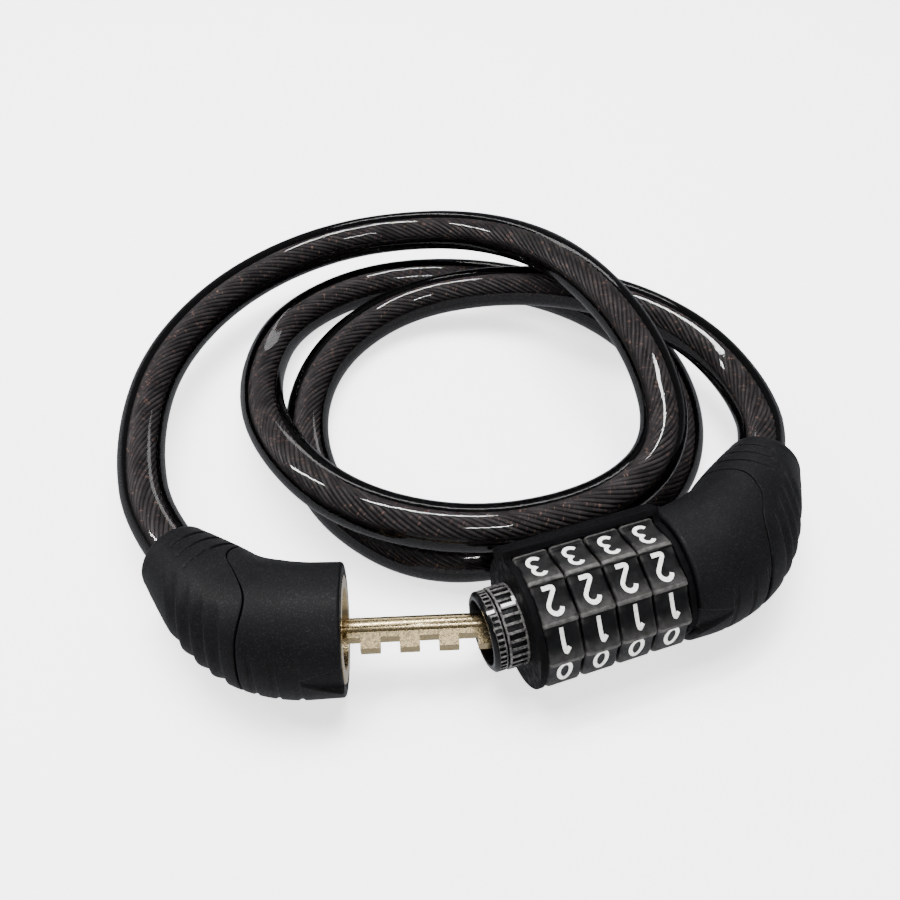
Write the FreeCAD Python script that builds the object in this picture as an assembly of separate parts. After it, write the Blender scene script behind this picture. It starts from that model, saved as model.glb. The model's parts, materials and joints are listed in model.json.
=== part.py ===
import FreeCAD, Part
import math
import os

os.makedirs("parts", exist_ok=True)

V = FreeCAD.Vector
UP = V(0, 0, 1)


# ---------------------------------------------------------------- helpers
def cyl(radius, start, direction, length):
    return Part.makeCylinder(radius, length, start, direction)


def tube(outer, inner, start, direction, length):
    return cyl(outer, start, direction, length).cut(cyl(inner, start, direction, length))


def turned(points):
    """Solid of revolution about the X axis from (x, r) points."""
    wire = Part.makePolygon([V(x, 0, r) for x, r in points + [points[0]]])
    return Part.Face(wire).revolve(V(0, 0, 0), V(1, 0, 0), 360)


def chamfered_rod(radius, x0, x1, edge):
    return turned([(x0, 0), (x0, radius - edge), (x0 + edge, radius),
                   (x1 - edge, radius), (x1, radius - edge), (x1, 0)])


def heading(degrees):
    a = math.radians(degrees)
    return V(math.cos(a), math.sin(a), 0)


def save(shape, node):
    shape.exportStep("parts/" + node + ".step")
    box = shape.BoundBox
    print("%-20s solids %d valid %s  vol %8.1f  x %.1f..%.1f y %.1f..%.1f z %.1f..%.1f" % (
        node, len(shape.Solids), shape.isValid(), shape.Volume,
        box.XMin, box.XMax, box.YMin, box.YMax, box.ZMin, box.ZMax))


# ---------------------------------------------------------------- main sizes
PITCH = 8.6            # dial pitch, and tooth pitch on the bolt
DIAL_WIDTH = 8.1
DIAL_R = 15.4          # over the raised lips
BODY_R = 15.6          # lock housing, and the plates beside the dials
BOLT_BODY_R = 15.0
LOCK_Z = 15.65         # lock axis above the table
BOLT_Z = 15.05
LOCK_YAW = 19.5        # the lock lies turned by this much from the bolt
LOCK_START = V(6.3, -18.4, LOCK_Z)     # front face of the front plate
BOLT_YAW = 3.0
BOLT_FACE = V(-32.0, -19.6, BOLT_Z)    # open end of the bolt housing
LOCK_TURN = 43.0
BOLT_TURN = 46.0
ELBOW_R = 30.0
WALL = 2.4
CABLE_R = 6.0
ROPE_R = 3.8
ROPE_GAP = 0.2
TOOTH_REACH = 6.0
TOOTH_THICK = 2.4
ROD_R = 2.25
CORE_R = 4.4


# ---------------------------------------------------------------- elbows
def elbow_line(start, first, turn, lead, tail):
    """Centre line of an elbow: lead straight, an arc to the side, tail straight."""
    side = 1 if turn > 0 else -1
    d0 = heading(first)
    a = start + d0 * lead
    n0 = heading(first + 90 * side)
    centre = a + n0 * ELBOW_R
    arc_len = ELBOW_R * math.radians(abs(turn))
    total = lead + arc_len + tail

    def at(s):
        if s <= lead:
            return start + d0 * s, d0
        if s <= lead + arc_len:
            done = math.degrees((s - lead) / ELBOW_R) * side
            return centre - heading(first + 90 * side + done) * ELBOW_R, heading(first + done)
        d1 = heading(first + turn)
        return centre - heading(first + turn + 90 * side) * ELBOW_R + d1 * (s - lead - arc_len), d1

    return at, total


def grip_radius(from_port, full):
    """Outside radius of a housing against the distance from its cable port."""
    table = [(0.0, 7.8), (1.0, 8.5), (5.0, 9.6), (10.0, 11.1), (16.0, 12.5), (24.0, 13.7), (34.0, full)]
    for (d0, r0), (d1, r1) in zip(table, table[1:]):
        if from_port <= d1:
            return r0 + (r1 - r0) * (from_port - d0) / (d1 - d0)
    return full


def elbow_solid(at, s0, s1, radius_at, stations):
    wires = []
    for i in range(stations + 1):
        s = s0 + (s1 - s0) * i / stations
        p, d = at(s)
        wires.append(Part.Wire([Part.makeCircle(radius_at(s), p, d)]))
    return Part.makeLoft(wires, True, False)


def scallop(p, axis, side, surface_r, depth, round_r, fade):
    """Ring cut that is deepest towards side and runs out round the part."""
    major = surface_r + fade + round_r - depth
    return Part.makeTorus(major, round_r, p - side * fade, axis)


def seam_wall(points, gap):
    """Tall wall that follows the seam between a housing and its grip."""
    edges = []
    for shift in (0.0, gap):
        spline = Part.BSplineCurve()
        spline.interpolate([V(x + shift, y, -5) for x, y in points])
        edges.append(spline.toShape())
    a, b = edges
    ends = [Part.makeLine(a.Vertexes[0].Point, b.Vertexes[0].Point),
            Part.makeLine(a.Vertexes[-1].Point, b.Vertexes[-1].Point)]
    wire = Part.Wire([a, ends[1], b, ends[0]])
    return Part.Face(wire).extrude(V(0, 0, 45))


SLOTS_FROM_PORT = (6.0, 9.9, 14.0)
STEPS_FROM_PORT = (11.8, 16.2, 20.6, 24.1, 27.1)
GROOVES_FROM_FACE = (8.8, 13.8, 18.6)
NOTCH_DEEP = 8.0       # thumb notch at the open end, narrowing away from it
NOTCH_CUT = 1.5
PORT_HOLE_R = CABLE_R + 0.1
PORT_FLARE_R = 6.95    # the port widens outwards, so that the cable can bend
PORT_FLARE = 7.0


def housing_pair(start, first, turn, lead, tail, full_r, seam):
    """Plastic body and grip of one end, hollow inside, with the cable port at the far end."""
    at, total = elbow_line(start, first, turn, lead, tail)
    outer = elbow_solid(at, 0, total, lambda s: grip_radius(total - s, full_r), 12)
    cavity = elbow_solid(at, -0.5, total - 6, lambda s: grip_radius(total - s, full_r) - WALL, 10)
    port, out = at(total)
    side = 1 if turn > 0 else -1
    near = heading(first - 90 * side)
    shell = outer.cut(cavity).cut(cyl(PORT_HOLE_R, port - out * 10, out, 14))
    shell = shell.cut(Part.makeCone(PORT_HOLE_R, PORT_FLARE_R, PORT_FLARE, port - out * PORT_FLARE, out))
    # three short slots across the top, beside the port
    for from_port in SLOTS_FROM_PORT:
        p, d = at(total - from_port)
        shell = shell.cut(scallop(p, d, UP, grip_radius(from_port, full_r), 0.7, 0.75, 1.2))
    # scalloped steps on the outside of the bend
    for from_port in STEPS_FROM_PORT:
        p, d = at(total - from_port)
        outward = d.cross(UP) * side
        shell = shell.cut(scallop(p, d, outward, grip_radius(from_port, full_r), 0.7, 1.4, 1.3))
    # faint grooves low on the near side of the body
    for from_face in GROOVES_FROM_FACE:
        p, d = at(from_face)
        low = (near * 0.9 - UP * 0.42).normalize()
        shell = shell.cut(scallop(p, d, low, full_r - 0.1, 0.25, 0.4, 0.5))
    p, d = at(0)
    foot = p - d + near * (full_r - NOTCH_CUT)
    tip = p + d * NOTCH_DEEP + near * (full_r - 0.6) + UP * 1.6
    corners = [foot + UP * 4.4, tip, foot - UP * 1.2]
    shell = shell.cut(Part.Face(Part.makePolygon(corners + corners[:1])).extrude(near * 5))
    pieces = shell.cut(seam_wall(seam, 0.3)).Solids
    pieces = sorted(pieces, key=lambda s: s.Volume, reverse=True)[:2]
    body, grip = sorted(pieces, key=lambda s: (s.CenterOfMass - start).Length)
    return body, grip, port, out


BOLT_SEAM = [(-53.5, 8.0), (-55.5, -1.0), (-57.4, -8.0), (-54.2, -14.5), (-51.6, -20.5),
             (-53.0, -30.0), (-52.4, -40.0)]
LOCK_SEAM = [(47.4, 29.4), (52.9, 19.9), (59.4, 16.6), (63.6, 9.4), (62.6, 0.2), (64.0, -9.3),
             (66.4, -20.6)]
REAR = 37.9            # back of the rear plate, from LOCK_START

bolt_body, bolt_grip, bolt_port, bolt_out = housing_pair(
    BOLT_FACE, 180 + BOLT_YAW, -BOLT_TURN, 6.4, 19, BOLT_BODY_R, BOLT_SEAM)
lock_body, lock_grip, lock_port, lock_out = housing_pair(
    LOCK_START + heading(LOCK_YAW) * REAR, LOCK_YAW, LOCK_TURN, 4, 23, BODY_R, LOCK_SEAM)

save(bolt_body, "bolt_housing")
save(bolt_grip, "bolt_grip")
save(lock_body, "lock_housing")
save(lock_grip, "lock_grip")
print("ports", bolt_port, bolt_out, lock_port, lock_out)


# ---------------------------------------------------------------- bolt end
CUP_R = 9.1
CUP_DEPTH = 11.6
BOLT_ROOT = -18.0      # the rod starts this far inside the open face
BOLT_PIN_X = -15.5
BOLT_PIN_R = 1.0
FIRST_TOOTH = 6.4
TOOTH_HALF = 2.2
BOLT_END = FIRST_TOOTH + 3 * PITCH + TOOTH_HALF


def bolt_end():
    """Built along X with the open face at x = 0 and the bolt pointing to +X."""
    cup = turned([(0.8, CUP_R), (0.8, 11.8), (0.4, 12.2), (-11, 12.2), (-13, 9.8), (-19, 9.8), (-19, 0),
                  (-CUP_DEPTH, 0), (-CUP_DEPTH, CUP_R)])
    cup = cup.cut(cyl(ROD_R, V(BOLT_ROOT, 0, 0), V(1, 0, 0), 8))
    cup = cup.cut(cyl(BOLT_PIN_R, V(BOLT_PIN_X, 0, -12), UP, 24))
    bolt = chamfered_rod(ROD_R, BOLT_ROOT, BOLT_END, 0.4)
    web_start = 1.2
    bolt = bolt.fuse(Part.makeBox(BOLT_END - 2 * web_start, 3.2, TOOTH_THICK, V(web_start, -3.2, -TOOTH_THICK / 2)))
    for k in range(4):
        corner = V(FIRST_TOOTH + k * PITCH - TOOTH_HALF, -TOOTH_REACH, -TOOTH_THICK / 2)
        bolt = bolt.fuse(Part.makeBox(2 * TOOTH_HALF, TOOTH_REACH, TOOTH_THICK, corner))
    bolt = bolt.removeSplitter()
    bolt = bolt.cut(cyl(BOLT_PIN_R, V(BOLT_PIN_X, 0, -13), UP, 26))
    pin = cyl(BOLT_PIN_R, V(BOLT_PIN_X, 0, -9.6), UP, 19.2)
    return cup, bolt, pin


cup, bolt, bolt_pin = bolt_end()
for shape in (cup, bolt, bolt_pin):
    shape.rotate(V(0, 0, 0), UP, BOLT_YAW)
    shape.translate(BOLT_FACE)


def ferrule_set(port, out, block, crimp_len):
    """Crimped sleeve on the rope end, seated in the metal block, and its cross pin."""
    start = port - out * 19.5
    sleeve = cyl(5.3, start, out, crimp_len)
    sleeve = sleeve.cut(cyl(ROPE_R + 0.08, start + out * 1.5, out, crimp_len))
    for k in range(3):
        ring_at = start + out * (3.2 + 2.6 * k)
        sleeve = sleeve.cut(Part.makeTorus(5.5, 0.5, ring_at, out))
    seat = cyl(7.6, start - out * 11.0, out, crimp_len + 8.5)
    seat = seat.cut(cyl(5.3, start, out, crimp_len + 5))
    block = block.fuse(seat)
    block = block.cut(cyl(5.3, start, out, crimp_len + 5))
    pin_at = start + out * 1.0
    block = block.cut(cyl(0.8, pin_at - UP * 9, UP, 18))
    sleeve = sleeve.cut(cyl(0.8, pin_at - UP * 9, UP, 18))
    pin = cyl(0.8, pin_at - UP * 7.4, UP, 14.8)
    return block.removeSplitter(), sleeve, pin


cup, bolt_ferrule, bolt_ferrule_pin = ferrule_set(bolt_port, bolt_out, cup, 11.5)
save(cup, "bolt_cup")
save(bolt, "bolt")
save(bolt_pin, "bolt_pin")
save(bolt_ferrule, "bolt_ferrule")
save(bolt_ferrule_pin, "bolt_ferrule_pin")


# ---------------------------------------------------------------- lock end, along +X from the front plate
def place(shape):
    shape = shape.copy()
    shape.rotate(V(0, 0, 0), UP, LOCK_YAW)
    shape.translate(LOCK_START)
    return shape


def ribbed(shape, x0, x1, radius, count, width, depth):
    """Cut even grooves along X so that ribs of the given width stay."""
    for k in range(count):
        a = 360.0 * k / count
        gap = 2 * math.pi * radius / count - width
        cut = Part.makeBox(x1 - x0, gap, depth + 1, V(x0, -gap / 2, radius - depth))
        cut.rotate(V(0, 0, 0), V(1, 0, 0), a)
        shape = shape.cut(cut)
    return shape


COLLAR_R = 9.3
RESET_R = 9.1
MOUTH_R = 7.4
SLEEVE_R = 8.2         # the ring's sleeve, which turns inside the collar
FRONT = -7.8           # front of the reset ring
SPLIT = -4.9           # gap between the ring and the collar
WEB = -2.7             # the ring's web carries the core tube
CORE_START = -1.9
RIB_DEPTH = 0.45
PLATE = 1.7
REAR_PLATE = 1.75
PLATE_R = 15.2
REAR_PLATE_R = 14.0    # smaller, so that a dark gap shows behind the last dial
SPINE_R = 17.2
BRASS_R = 10.4         # over the gate rings
SCREW_AT = 10.2
SCREW_R = 1.1
SCREW_HEAD_R = 2.0


def key_slot(x0, x1, reach):
    """Way for the rod and the teeth, open towards local -Y."""
    hole = cyl(ROD_R + 0.25, V(x0, 0, 0), V(1, 0, 0), x1 - x0)
    slot = Part.makeBox(x1 - x0, reach, 3.0, V(x0, -reach, -1.5))
    return hole.fuse(slot)


def reset_ring():
    shape = turned([(FRONT, MOUTH_R), (FRONT, RESET_R - 0.8), (FRONT + 0.7, RESET_R), (SPLIT - 0.2, RESET_R),
                    (SPLIT, RESET_R - 0.2), (SPLIT, SLEEVE_R), (CORE_START, SLEEVE_R), (CORE_START, CORE_R),
                    (WEB, CORE_R), (WEB, MOUTH_R)])
    web = cyl(CORE_R + 0.2, V(WEB, 0, 0), V(1, 0, 0), CORE_START - WEB)
    shape = shape.fuse(web).removeSplitter()
    shape = shape.cut(key_slot(WEB - 0.1, CORE_START + 0.1, 6.5))
    return ribbed(shape, FRONT + 1.1, SPLIT - 0.4, RESET_R, 42, 0.5, RIB_DEPTH)


def core_tube():
    shape = cyl(CORE_R, V(CORE_START, 0, 0), V(1, 0, 0), 43.4)
    shape = shape.cut(key_slot(CORE_START - 0.1, 41.0, CORE_R + 1))
    groove = tube(CORE_R + 1, 3.9, V(39.6, 0, 0), V(1, 0, 0), 0.9)
    return shape.cut(groove)


def index_collar():
    inside = SLEEVE_R + 0.1
    front = SPLIT + 0.3
    shape = turned([(front, inside), (front, COLLAR_R - 0.2), (front + 0.2, COLLAR_R), (0, COLLAR_R), (0, inside)])
    return ribbed(shape, front + 0.5, -0.5, COLLAR_R, 30, 0.6, RIB_DEPTH)


def dial_frame():
    """Front and rear plates joined by a spine above the dials."""
    rear_start = REAR - REAR_PLATE
    plates = ((0, PLATE, PLATE_R), (rear_start, REAR_PLATE, REAR_PLATE_R))
    (front, rear) = [chamfered_rod(radius, start, start + thick, 0.3) for start, thick, radius in plates]
    spine = tube(SPINE_R, DIAL_R + 0.3, V(0, 0, 0), V(1, 0, 0), REAR)
    wedge = Part.makeBox(REAR, 8.0, 30, V(0, -4.0, 0))
    wedge.rotate(V(0, 0, 0), V(1, 0, 0), -45)
    for start, thick, radius in plates:
        spine = spine.fuse(tube(SPINE_R, radius - 0.5, V(start, 0, 0), V(1, 0, 0), thick))
    frame = front.fuse(rear).fuse(spine.common(wedge)).removeSplitter()
    frame = frame.cut(cyl(CORE_R + 0.1, V(-1, 0, 0), V(1, 0, 0), 60))
    for sign in (-1, 1):
        place_at = V(REAR - 3, 0, sign * SCREW_AT)
        frame = frame.cut(cyl(SCREW_R, place_at, V(1, 0, 0), 5))
        frame = frame.cut(cyl(SCREW_HEAD_R + 0.1, place_at, V(1, 0, 0), 2.25))
    return frame


FACETS = 10
STEP = 360.0 / FACETS
FIRST_EDGE = 96.5      # the lip between digits 3 and 2 stands this far from the far side, over the top
FACET_LOW_R = 14.55
KEYS = 5


def number_ring(x0):
    """Ten slightly hollow faces, each rising to a chamfered lip."""
    edges = []

    def polar(r, deg):
        a = math.radians(deg)
        return V(0, r * math.cos(a), r * math.sin(a))

    for k in range(FACETS):
        a = FIRST_EDGE + STEP * k
        lip = polar(DIAL_R, a + 32.5)
        edge = polar(DIAL_R - 0.15, a + 35.2)
        edges.append(Part.Arc(polar(FACET_LOW_R, a), polar(14.2, a + 16.5), lip).toShape())
        edges.append(Part.makeLine(lip, edge))
        edges.append(Part.makeLine(edge, polar(FACET_LOW_R, a + STEP)))
    face = Part.Face(Part.Wire(edges))
    shape = face.extrude(V(DIAL_WIDTH, 0, 0))
    shape.translate(V(x0, 0, 0))
    shape = shape.common(chamfered_rod(DIAL_R + 0.2, x0, x0 + DIAL_WIDTH, 0.8))
    shape = shape.cut(cyl(BRASS_R, V(x0 - 1, 0, 0), V(1, 0, 0), DIAL_WIDTH + 2))
    for k in range(KEYS):
        key = Part.makeBox(DIAL_WIDTH, 2.0, 1.4, V(x0, -1.0, BRASS_R - 0.5))
        key.rotate(V(0, 0, 0), V(1, 0, 0), 360.0 / KEYS * k)
        shape = shape.cut(key)
    return shape


def gate_ring(x0):
    """Brass ring inside a dial: a plate with the gate, and room for a tooth behind it."""
    bore = CORE_R + 0.06
    room = 7.0
    plate_end = x0 + 3.0
    shape = turned([(x0, bore), (x0, BRASS_R), (x0 + DIAL_WIDTH, BRASS_R), (x0 + DIAL_WIDTH, room),
                    (plate_end, room), (plate_end, bore)])
    for k in range(KEYS):
        key = Part.makeBox(DIAL_WIDTH, 2.0, 1.2, V(x0, -1.0, BRASS_R - 0.3))
        key.rotate(V(0, 0, 0), V(1, 0, 0), 360.0 / KEYS * k)
        shape = shape.fuse(key)
    shape = shape.removeSplitter()
    return shape.cut(Part.makeBox(3.2, 6.6, 3.2, V(x0 - 0.1, -6.6, -1.6)))


def wave_washer():
    return tube(6.4, CORE_R + 0.2, V(REAR + 0.1, 0, 0), V(1, 0, 0), 0.5)


def retaining_clip():
    clip = tube(6.6, 3.9, V(39.7, 0, 0), V(1, 0, 0), 0.7)
    return clip.cut(Part.makeBox(2, 8, 4.4, V(39, 0, -2.2)))


def frame_screws():
    screws = []
    for sign in (-1, 1):
        x = REAR - 1.5
        z = sign * SCREW_AT
        head = Part.makeCone(SCREW_HEAD_R, SCREW_R, 0.75, V(x, 0, z), V(1, 0, 0))
        shank = cyl(SCREW_R, V(x + 0.7, 0, z), V(1, 0, 0), 7.0)
        head = head.cut(Part.makeBox(0.4, 3.2, 0.5, V(x - 0.1, -1.6, z - 0.25)))
        screws.append(head.fuse(shank))
    return Part.makeCompound(screws)


for k in range(4):
    x0 = PLATE + 0.25 + PITCH * k
    save(place(number_ring(x0)), "number_ring_%d" % (k + 1))
    save(place(gate_ring(x0)), "gate_ring_%d" % (k + 1))
save(place(reset_ring()), "reset_ring")
save(place(core_tube()), "core_tube")
save(place(index_collar()), "index_collar")
save(place(dial_frame()), "dial_frame")
save(place(wave_washer()), "wave_washer")
save(place(retaining_clip()), "retaining_clip")
save(place(frame_screws()), "frame_screws")

anchor = turned([(REAR, 7.4), (REAR, 12.5), (REAR + 9.5, 12.5), (REAR + 11, 10.4), (REAR + 16, 10.4),
                 (REAR + 16, 0), (REAR + 5.0, 0), (REAR + 5.0, 7.4)])
for sign in (-1, 1):
    anchor = anchor.cut(cyl(SCREW_R, V(REAR - 1, 0, sign * SCREW_AT), V(1, 0, 0), 7.4))
anchor = place(anchor)
anchor, lock_ferrule, lock_ferrule_pin = ferrule_set(lock_port, lock_out, anchor, 11.5)
save(anchor, "anchor_block")
save(lock_ferrule, "lock_ferrule")
save(lock_ferrule_pin, "lock_ferrule_pin")


# ---------------------------------------------------------------- cable
ROUTE = [
    (-60.46, -11.87, 15.05), (-79.95, 6.3, 15.05), (-90.2, 37.0, 15.0), (-90.0, 71.0, 15.2),
    (-74.0, 103.0, 16.0), (-46.0, 124.0, 17.2), (-12.0, 128.0, 19.6), (14.0, 112.0, 26.5),
    (31.0, 85.0, 33.0), (44.5, 57.0, 30.0), (48.0, 30.0, 22.5), (31.0, 12.9, 18.2),
    (-2.0, 3.4, 18.8), (-34.0, 11.0, 20.2), (-55.0, 36.0, 18.0), (-63.5, 68.0, 9.0),
    (-59.0, 97.0, 6.2), (-35.0, 117.0, 6.2), (-1.0, 120.5, 6.2), (32.0, 109.0, 6.2),
    (54.0, 84.0, 6.2), (58.5, 52.0, 6.2), (48.5, 25.5, 6.2), (22.0, 12.2, 6.2),
    (-12.0, 3.0, 6.2), (-40.0, 22.0, 6.2), (-50.0, 52.0, 6.2), (-44.5, 83.0, 6.2),
    (-23.0, 104.0, 8.5), (8.0, 106.0, 14.0), (37.0, 94.0, 20.2), (61.0, 78.0, 19.0),
    (74.0, 57.6, 15.4), (75.0, 34.2, 15.65), (63.8, 12.7, 15.65),
]


BEND_SHARE = 0.45      # of the shorter run beside it, each bend takes up this much
SHEATH_INSIDE = 7.2    # how far the cover and the rope reach into a port
ROPE_INSIDE = 17.4


def cable_wire(route):
    """Straight runs joined by tangent arcs, as large as the runs allow."""
    pts = [V(*p) for p in route]
    edges = []
    here = pts[0]
    for a, b, c in zip(pts, pts[1:], pts[2:]):
        run_in = (a - b).Length
        run_out = (c - b).Length
        cut = BEND_SHARE * min(run_in, run_out)
        u = (a - b).normalize()
        w = (c - b).normalize()
        turn = math.pi - u.getAngle(w)
        radius = cut / math.tan(turn / 2)
        print("bend radius %.1f turn %.0f runs %.1f %.1f" % (radius, math.degrees(turn), run_in, run_out))
        p0 = b + u * cut
        p1 = b + w * cut
        half = (u + w).normalize()
        mid = b + half * (radius / math.cos(turn / 2) - radius)
        edges.append(Part.LineSegment(here, p0).toShape())
        edges.append(Part.Arc(p0, mid, p1).toShape())
        here = p1
    edges.append(Part.LineSegment(here, pts[-1]).toShape())
    return Part.Wire(edges)


def pipe(wire, radius, first):
    section = Part.Wire([Part.makeCircle(radius, wire.Vertexes[0].Point, first)])
    return wire.makePipeShell([section], True, False)


wire = cable_wire(ROUTE)
start_dir = (V(*ROUTE[1]) - V(*ROUTE[0])).normalize()
print("cable centre line %.1f mm" % wire.Length)
rope = pipe(wire, ROPE_R, start_dir)
sheath = pipe(wire, CABLE_R, start_dir).cut(pipe(wire, ROPE_R + ROPE_GAP, start_dir))
print("rope volume %.0f against %.0f" % (rope.Volume, math.pi * ROPE_R ** 2 * wire.Length))
for port, out in ((bolt_port, bolt_out), (lock_port, lock_out)):
    sheath = sheath.cut(cyl(9, port - out * 30, out, 30 - SHEATH_INSIDE))
    rope = rope.cut(cyl(9, port - out * 40, out, 40 - ROPE_INSIDE))
save(sheath, "cable_sheath")
save(rope, "wire_rope")
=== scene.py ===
"""Looks of a coiled combination cable lock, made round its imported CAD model. Sizes are in millimetres."""

import json
import math

import bmesh
import bpy
import numpy as np
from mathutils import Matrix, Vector

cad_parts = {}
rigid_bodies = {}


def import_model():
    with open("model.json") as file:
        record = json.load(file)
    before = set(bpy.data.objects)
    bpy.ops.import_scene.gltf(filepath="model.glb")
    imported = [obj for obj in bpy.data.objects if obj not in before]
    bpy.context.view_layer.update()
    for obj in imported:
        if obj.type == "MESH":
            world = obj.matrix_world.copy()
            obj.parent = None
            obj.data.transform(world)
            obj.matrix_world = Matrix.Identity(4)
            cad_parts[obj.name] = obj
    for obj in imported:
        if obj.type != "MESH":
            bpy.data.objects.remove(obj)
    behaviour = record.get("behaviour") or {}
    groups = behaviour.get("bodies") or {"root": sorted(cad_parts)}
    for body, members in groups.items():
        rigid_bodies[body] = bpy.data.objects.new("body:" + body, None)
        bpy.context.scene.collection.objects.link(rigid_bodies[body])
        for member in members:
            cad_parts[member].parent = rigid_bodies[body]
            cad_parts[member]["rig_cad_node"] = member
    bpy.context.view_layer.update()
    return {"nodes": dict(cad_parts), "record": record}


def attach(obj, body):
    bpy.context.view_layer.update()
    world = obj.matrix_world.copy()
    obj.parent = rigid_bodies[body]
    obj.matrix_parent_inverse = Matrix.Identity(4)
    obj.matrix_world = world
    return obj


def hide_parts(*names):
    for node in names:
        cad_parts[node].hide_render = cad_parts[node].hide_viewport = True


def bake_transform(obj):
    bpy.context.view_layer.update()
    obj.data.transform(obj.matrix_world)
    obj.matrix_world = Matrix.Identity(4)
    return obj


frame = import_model()

MM = 0.001
UP = np.array([0.0, 0.0, 1.0])

# ---------------------------------------------------------------- sizes shared with the CAD source
PITCH = 8.6
DIAL_WIDTH = 8.1
DIAL_R = 15.4
BODY_R = 15.6
BOLT_BODY_R = 15.0
LOCK_Z = 15.65
BOLT_Z = 15.05
LOCK_YAW = 19.5
LOCK_START = np.array([6.3, -18.4, LOCK_Z])
BOLT_YAW = 3.0
BOLT_FACE = np.array([-32.0, -19.6, BOLT_Z])
LOCK_TURN = 43.0
BOLT_TURN = 46.0
ELBOW_R = 30.0
WALL = 2.4
CABLE_R = 6.0
ROPE_R = 3.8
REAR = 37.9
PLATE = 1.7
COLLAR_R = 9.3
RESET_R = 9.1
RIB_TOP = 0.45

ROUTE = [
    (-60.46, -11.87, 15.05), (-79.95, 6.3, 15.05), (-90.2, 37.0, 15.0), (-90.0, 71.0, 15.2),
    (-74.0, 103.0, 16.0), (-46.0, 124.0, 17.2), (-12.0, 128.0, 19.6), (14.0, 112.0, 26.5),
    (31.0, 85.0, 33.0), (44.5, 57.0, 30.0), (48.0, 30.0, 22.5), (31.0, 12.9, 18.2),
    (-2.0, 3.4, 18.8), (-34.0, 11.0, 20.2), (-55.0, 36.0, 18.0), (-63.5, 68.0, 9.0),
    (-59.0, 97.0, 6.2), (-35.0, 117.0, 6.2), (-1.0, 120.5, 6.2), (32.0, 109.0, 6.2),
    (54.0, 84.0, 6.2), (58.5, 52.0, 6.2), (48.5, 25.5, 6.2), (22.0, 12.2, 6.2),
    (-12.0, 3.0, 6.2), (-40.0, 22.0, 6.2), (-50.0, 52.0, 6.2), (-44.5, 83.0, 6.2),
    (-23.0, 104.0, 8.5), (8.0, 106.0, 14.0), (37.0, 94.0, 20.2), (61.0, 78.0, 19.0),
    (74.0, 57.6, 15.4), (75.0, 34.2, 15.65), (63.8, 12.7, 15.65),
]


# ---------------------------------------------------------------- mesh helpers
def mesh_piece(name, points, faces):
    """A smooth-shaded object from points in millimetres, with its normals outward."""
    mesh = bpy.data.meshes.new(name)
    mesh.from_pydata((np.asarray(points, float) * MM).tolist(), [], faces)
    work = bmesh.new()
    work.from_mesh(mesh)
    bmesh.ops.recalc_face_normals(work, faces=work.faces)
    work.to_mesh(mesh)
    work.free()
    mesh.polygons.foreach_set("use_smooth", [True] * len(mesh.polygons))
    piece = bpy.data.objects.new(name, mesh)
    bpy.context.scene.collection.objects.link(piece)
    return piece


def grid_faces(rows, columns, first=0, close_rows=True, close_columns=True):
    """Quads between the points of a grid that is stored row by row."""
    faces = []
    for i in range(rows if close_rows else rows - 1):
        above = (i + 1) % rows
        for j in range(columns if close_columns else columns - 1):
            beside = (j + 1) % columns
            faces.append((first + i * columns + j, first + i * columns + beside,
                          first + above * columns + beside, first + above * columns + j))
    return faces


def numbers(piece, name, values):
    """Stores one number for each point of a piece, for its material to read."""
    layer = piece.data.attributes.new(name, "FLOAT", "POINT")
    layer.data.foreach_set("value", np.asarray(values, np.float32).ravel())


def smoothstep(low, high, x):
    """0 up to low, 1 from high on and a smooth rise between. High may be the smaller one."""
    t = np.clip((x - low) / (high - low), 0, 1)
    return t * t * (3 - 2 * t)


def band(x, low, high, soft):
    """1 between low and high, falling to 0 over soft outside them."""
    return smoothstep(low - soft, low, x) * (1 - smoothstep(high, high + soft, x))


def smooth_curve(points):
    """Function through (x, y) points, with no kinks."""
    xs, ys = np.array(sorted(points), float).T
    slopes = np.gradient(ys, xs)

    def at(x):
        x = np.clip(x, xs[0], xs[-1])
        i = np.clip(np.searchsorted(xs, x) - 1, 0, len(xs) - 2)
        h = xs[i + 1] - xs[i]
        t = (x - xs[i]) / h
        return (ys[i] * (1 + 2 * t) * (1 - t) ** 2 + slopes[i] * h * t * (1 - t) ** 2
                + ys[i + 1] * t * t * (3 - 2 * t) + slopes[i + 1] * h * t * t * (t - 1))

    return at


def heading(degrees):
    """Level direction, counted from +X towards +Y."""
    a = math.radians(degrees)
    return np.array([math.cos(a), math.sin(a), 0.0])


def to_lock(points):
    """From the lock's own frame, X along its axis, to the row frame."""
    points = np.asarray(points, float)
    along, across = heading(LOCK_YAW), heading(LOCK_YAW + 90)
    return LOCK_START + points[:, :1] * along + points[:, 1:2] * across + points[:, 2:] * UP


# ---------------------------------------------------------------- node helpers
def new_material(name):
    material = bpy.data.materials.new(name)
    material.use_nodes = True
    material.node_tree.nodes.clear()
    return material, material.node_tree


def join(tree, output, target):
    tree.links.new(output, target)


def finish_surface(tree, shader):
    out = tree.nodes.new("ShaderNodeOutputMaterial")
    join(tree, shader, out.inputs["Surface"])


def principled(tree, roughness, metallic=0.0, **settings):
    """The standard shader. A setting's name has underscores where the socket's has spaces."""
    node = tree.nodes.new("ShaderNodeBsdfPrincipled")
    node.inputs["Roughness"].default_value = roughness
    node.inputs["Metallic"].default_value = metallic
    for key, value in settings.items():
        node.inputs[key.replace("_", " ")].default_value = value
    return node


def position(tree):
    """Coordinates on the piece in millimetres."""
    where = tree.nodes.new("ShaderNodeTexCoord")
    scale = tree.nodes.new("ShaderNodeVectorMath")
    scale.operation = "SCALE"
    scale.inputs["Scale"].default_value = 1 / MM
    join(tree, where.outputs["Object"], scale.inputs[0])
    return scale.outputs[0]


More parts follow.
